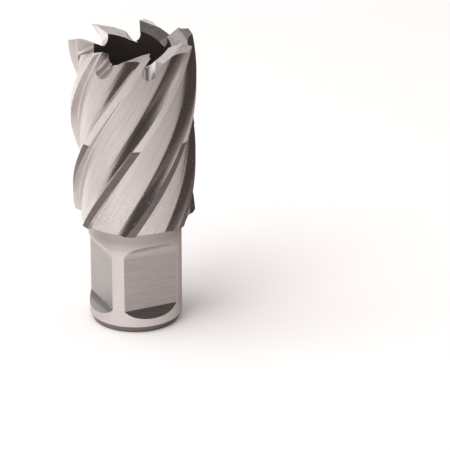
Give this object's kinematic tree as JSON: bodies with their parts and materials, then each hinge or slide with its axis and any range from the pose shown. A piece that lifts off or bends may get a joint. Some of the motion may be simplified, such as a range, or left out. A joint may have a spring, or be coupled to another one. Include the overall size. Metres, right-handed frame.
{
  "type": "annular cutter",
  "caption": "Hollow hole cutter in ground steel with a helically fluted, toothed cup on a plain shank that has clamping flats and a through bore for a pilot pin",
  "frame": {"origin": "centre of the shank's end face, where the pilot bore opens", "axes": "+Z along the tool axis from the shank end towards the teeth; the two clamping flats face -Y and -X"},
  "size_m": [0.0253, 0.0253, 0.0605],
  "materials": {
    "steel": "ground high speed steel, bright on the lands and satin in the flutes"
  },
  "bodies": {
    "root": {"annular_cutter": "steel"}
  },
  "joints": []
}
